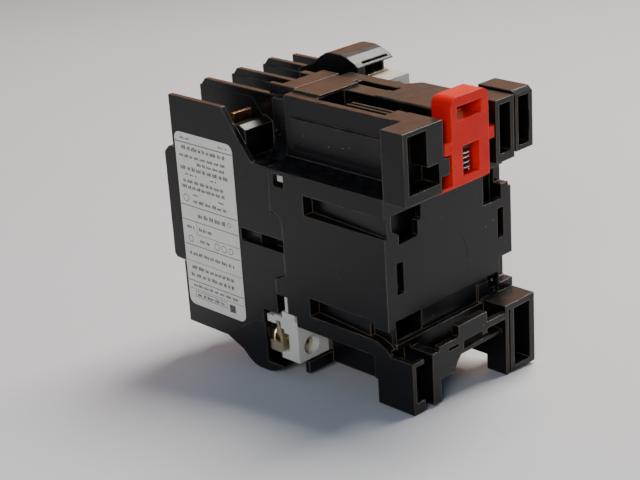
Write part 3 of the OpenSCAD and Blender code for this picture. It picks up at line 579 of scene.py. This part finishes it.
def cut_slots(obj, places, width, depth, reach):
    """Cuts a driver slot and its short cross into each head."""
    bm = bmesh.new()
    for x, y, z in places:
        for half in ((reach, width / 2), (width / 2, reach * CROSS_SHARE)):
            made = bmesh.ops.create_cube(bm, size=1.0)["verts"]
            for v in made:
                dx, dy, dz = v.co * 2
                v.co = at(x + dx * half[0], y + dy * depth, z + dz * half[1])
    mesh = bpy.data.meshes.new("cutter")
    bm.to_mesh(mesh)
    bm.free()
    cutter = link("cutter", mesh)
    mod = obj.modifiers.new("slots", "BOOLEAN")
    mod.operation = "DIFFERENCE"
    mod.solver = "EXACT"
    mod.use_self = True
    mod.object = cutter
    bpy.context.view_layer.update()
    cut = bpy.data.meshes.new_from_object(
        obj.evaluated_get(bpy.context.evaluated_depsgraph_get()))
    obj.modifiers.remove(mod)
    obj.data = cut
    bpy.data.objects.remove(cutter)
    cut.shade_smooth()
    cut.set_sharp_from_angle(angle=math.radians(35))


def make_screws(name, node, slot, places, screw):
    """Pan head screws at (x, head face y, z), standing for one CAD node."""
    bm = bmesh.new()
    for x, y, z in places:
        add_turned(bm, x, z, screw_profile(y, screw))
    obj = piece(name, bm, slot, "base", 35)
    cut_slots(obj, places, screw.slot_w, screw.head_h * CROWN_SHARE,
              screw.head_r * SLOT_REACH)
    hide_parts(node)


TWIN_Z = 67.2                # the heights of the two coil terminals add up to this
COIL_X = 17.6
COIL_Z = 5.2
COIL_HEAD_Y = -52.6
TERMINAL_Z = 22.6            # terminal screws above and below the bridges
TERMINAL_HEAD_Y = -65.6
MAGNET_Z = 32
JOINING_X = 20.75
JOINING_Z = 13               # joining screws above and below the magnet's middle
JOINING_HEAD_Y = -50.4


def make_all_screws():
    """Slotted and threaded screws in place of the plain ones of the CAD."""
    make_screws("coil_terminal_screws", "coil_screws", "clamp_brass",
                [(COIL_X, COIL_HEAD_Y, COIL_Z), (-COIL_X, COIL_HEAD_Y, TWIN_Z - COIL_Z)],
                COIL_SCREW)
    make_screws("pole_terminal_screws", "terminal_screws", "screw_steel",
                [(x, TERMINAL_HEAD_Y, CONTACT_Z + s * TERMINAL_Z)
                 for x in POLE_X for s in (-1, 1)],
                POLE_SCREW)
    make_screws("joining_screws", "housing_screws", "screw_steel",
                [(s * JOINING_X, JOINING_HEAD_Y, MAGNET_Z + s * JOINING_Z) for s in (-1, 1)],
                JOINING_SCREW)


# ---------------------------------------------------------------- label print

LABEL_X = 22.5 + 0.15        # outer face of the label
LABEL_Y = (-79.0, -57.2)
INK_T = 0.012                # the print stands this far out of the label
FULL = (LABEL_Y[0] + 0.2, LABEL_Y[1] - 0.2)

RULES = (                    # height, from y to y, thickness of a ruled line
    (52.7, *FULL, 0.26), (35.6, *FULL, 0.22), (31.5, *FULL, 0.2),
    (28.0, -73.4, FULL[1], 0.14), (24.7, *FULL, 0.22), (20.0, *FULL, 0.13),
    (14.4, *FULL, 0.22), (12.1, *FULL, 0.13))
ROWS = (                     # height, from y to y, height of the dashes
    (53.9, -76.8, -72.6, 0.6), (53.9, -62.4, -59.2, 0.5),
    (51.4, -76.6, -60.0, 1.15), (49.2, -77.6, -60.2, 0.85),
    (47.6, -71.0, -60.2, 0.85), (45.9, -77.6, -59.6, 1.1),
    (44.2, -76.0, -71.6, 0.5), (44.2, -66.6, -64.0, 0.5),
    (42.4, -77.0, -61.6, 0.95), (40.8, -77.6, -60.4, 0.95),
    (38.9, -73.6, -71.8, 0.5), (38.9, -64.0, -61.8, 0.5),
    (37.2, -73.8, -61.0, 0.95), (33.5, -72.6, -61.4, 1.25),
    (29.7, -77.4, -74.4, 0.85), (29.7, -72.6, -67.6, 1.0),
    (26.4, -72.6, -68.0, 0.9), (22.4, -77.2, -59.8, 1.0),
    (18.4, -76.8, -60.2, 1.0), (16.3, -77.4, -60.6, 1.1),
    (13.25, -76.8, -59.6, 0.8), (10.72, -75.6, -65.0, 0.95))
RINGS = (                    # y, height and radius
    (-76.6, 37.6, 1.05), (-76.2, 26.4, 0.95), (-66.0, 26.4, 1.0),
    (-63.4, 26.4, 1.0), (-60.8, 26.4, 0.85), (-60.6, 33.5, 0.7))
WORD_L = (0.9, 2.2)          # range of the length of a group of dashes
WORD_GAP = (0.3, 0.65)
DASH_L = (0.22, 0.5)
DASH_RISE = (0.62, 1.0)      # to the height of the row
DASH_GAP = 0.13
RING_T = 0.2
RING_STEPS = 28
FRAME_Y = (-76.3, -64.2)     # a thin frame around the lowest row
FRAME_Z = (9.9, 11.55)
FRAME_T = 0.16
DIVIDER = (-73.5, -73.36, 28.0, 31.5)
SQUARE = (-63.1, -60.9, 9.2, 11.3)


def add_bar(bm, y0, y1, z0, z1):
    """A printed bar, given from front to rear and from low to high."""
    made = bmesh.ops.create_cube(bm, size=1.0)["verts"]
    for v in made:
        v.co = at(LABEL_X + INK_T * v.co.x, (y0 + y1) / 2 + (y1 - y0) * v.co.y,
                  (z0 + z1) / 2 + (z1 - z0) * v.co.z)


def add_ring(bm, y, z, r, t):
    """A printed ring of radius r and line width t."""
    loops = []
    for radius in (r - t, r):
        loops.append([bm.verts.new(at(LABEL_X + INK_T / 2,
                                      y + radius * math.cos(2 * math.pi * i / RING_STEPS),
                                      z + radius * math.sin(2 * math.pi * i / RING_STEPS)))
                      for i in range(RING_STEPS)])
    for i in range(RING_STEPS):
        j = (i + 1) % RING_STEPS
        bm.faces.new((loops[0][i], loops[1][i], loops[1][j], loops[0][j]))


def add_dashes(bm, rng, y0, y1, z, height):
    """A row of plain dashes in word-like groups, which stand for print."""
    y = y0
    while y < y1 - 0.4:
        word_end = min(y1, y + rng.uniform(*WORD_L))
        while y < word_end - 0.15:
            stroke = min(rng.uniform(*DASH_L), word_end - y)
            rise = height * rng.uniform(*DASH_RISE)
            low = z - height / 2
            add_bar(bm, y, y + stroke, low, low + rise)
            y += stroke + DASH_GAP
        y += rng.uniform(*WORD_GAP)


def make_print():
    """Ruled lines, dashes, rings and a plain square: nothing that can be read."""
    rng = random.Random(11)
    bm = bmesh.new()
    for z, y0, y1, t in RULES:
        add_bar(bm, y0, y1, z - t / 2, z + t / 2)
    add_bar(bm, *DIVIDER)
    for z in FRAME_Z:
        add_bar(bm, *FRAME_Y, z - FRAME_T / 2, z + FRAME_T / 2)
    for y in FRAME_Y:
        add_bar(bm, y - FRAME_T / 2, y + FRAME_T / 2, *FRAME_Z)
    for z, y0, y1, height in ROWS:
        add_dashes(bm, rng, y0, y1, z, height)
    for y, z, r in RINGS:
        add_ring(bm, y, z, r, RING_T)
    add_bar(bm, *SQUARE)
    obj = piece("label_print", bm, "label_ink", "base")


# ---------------------------------------------------------------- moulded marks

REAR_PANEL_Y = -7.0
ARC_STEPS = 36
ARC_SIDES = 6


def add_arc_bead(bm, x, y, z, radius, a0, a1, wire):
    """A thin raised line along an arc on a face that looks to the rear."""
    rings = []
    for i in range(ARC_STEPS + 1):
        a = math.radians(a0 + (a1 - a0) * i / ARC_STEPS)
        out = Vector((math.cos(a), 0, math.sin(a)))
        middle = at(x, y, z) + out * radius * MM
        ring = []
        for k in range(ARC_SIDES):
            b = 2 * math.pi * k / ARC_SIDES
            ring.append(bm.verts.new(
                middle + (out * math.cos(b) + Vector((0, math.sin(b), 0))) * wire * MM))
        rings.append(ring)
    skin(bm, rings)


def make_mould_marks():
    """Thin arc left by the mould on the rear panel."""
    bm = bmesh.new()
    add_arc_bead(bm, 5.7, REAR_PANEL_Y, 28.3, radius=11.7, a0=130, a1=196, wire=0.06)
    piece("mould_arcs", bm, "housing_black", "base", 60)


make_springs()
make_all_screws()
make_print()
make_mould_marks()


# ---------------------------------------------------------------- floor and light

FLOOR_SLOPE_X = 0.080        # the device leans on the shroud corner and both feet
FLOOR_SLOPE_Y = 0.0766
FLOOR_X0 = 22.5
FLOOR_HALF = 3000.0


def floor_point(x, y):
    """The point of the tilted floor below x and y."""
    return at(x, y, FLOOR_SLOPE_X * (x - FLOOR_X0) + FLOOR_SLOPE_Y * y)


def make_floor():
    """A pale table through the shroud corner and the two feet."""
    mesh = bpy.data.meshes.new("floor")
    corners = [(-1, -1), (1, -1), (1, 1), (-1, 1)]
    mesh.from_pydata([floor_point(FLOOR_HALF * a, FLOOR_HALF * b) for a, b in corners], [],
                     [(0, 1, 2, 3)])
    floor = link("floor", mesh)
    f = Finish("table_top")
    slow = f.noise(4, 3, 0.5)
    f.set(Base_Color=f.mix(slow, (0.60, 0.60, 0.605), (0.64, 0.64, 0.65)))
    f.set(Roughness=f.spread(f.noise(300, 3), 0.5, 0.6))
    mesh.materials.append(f.mat)


def area(name, where, aim, size, power, color):
    """A rectangular lamp at where, turned to aim."""
    light = bpy.data.lights.new(name, "AREA")
    light.shape = "RECTANGLE"
    light.size, light.size_y = size
    light.energy = power
    light.color = color
    o = link(name, light)
    o.location = where
    o.rotation_euler = (Vector(aim) - Vector(where)).to_track_quat("-Z", "Y").to_euler()


def make_light():
    """A soft lamp behind the device, a warm reflection, a fill, and a cool sky."""
    aim = (0, 0, 0.03)
    area("key", (-0.62, -0.08, 0.96), aim, size=(0.6, 0.6), power=21, color=(1, 0.96, 0.89))
    area("warm_card", (-0.78, -0.82, 0.42), aim, size=(1.3, 0.5), power=2.2,
         color=(1, 0.42, 0.12))
    area("fill", (0.98, 0.62, 0.58), aim, size=(0.4, 0.4), power=7.4, color=(0.98, 0.97, 1))
    world = bpy.data.worlds.new("world")
    bpy.context.scene.world = world
    world.use_nodes = True
    sky = world.node_tree.nodes["Background"]
    sky.inputs[0].default_value = (0.36, 0.60, 1.0, 1)
    sky.inputs[1].default_value = 0.21


make_floor()
make_light()
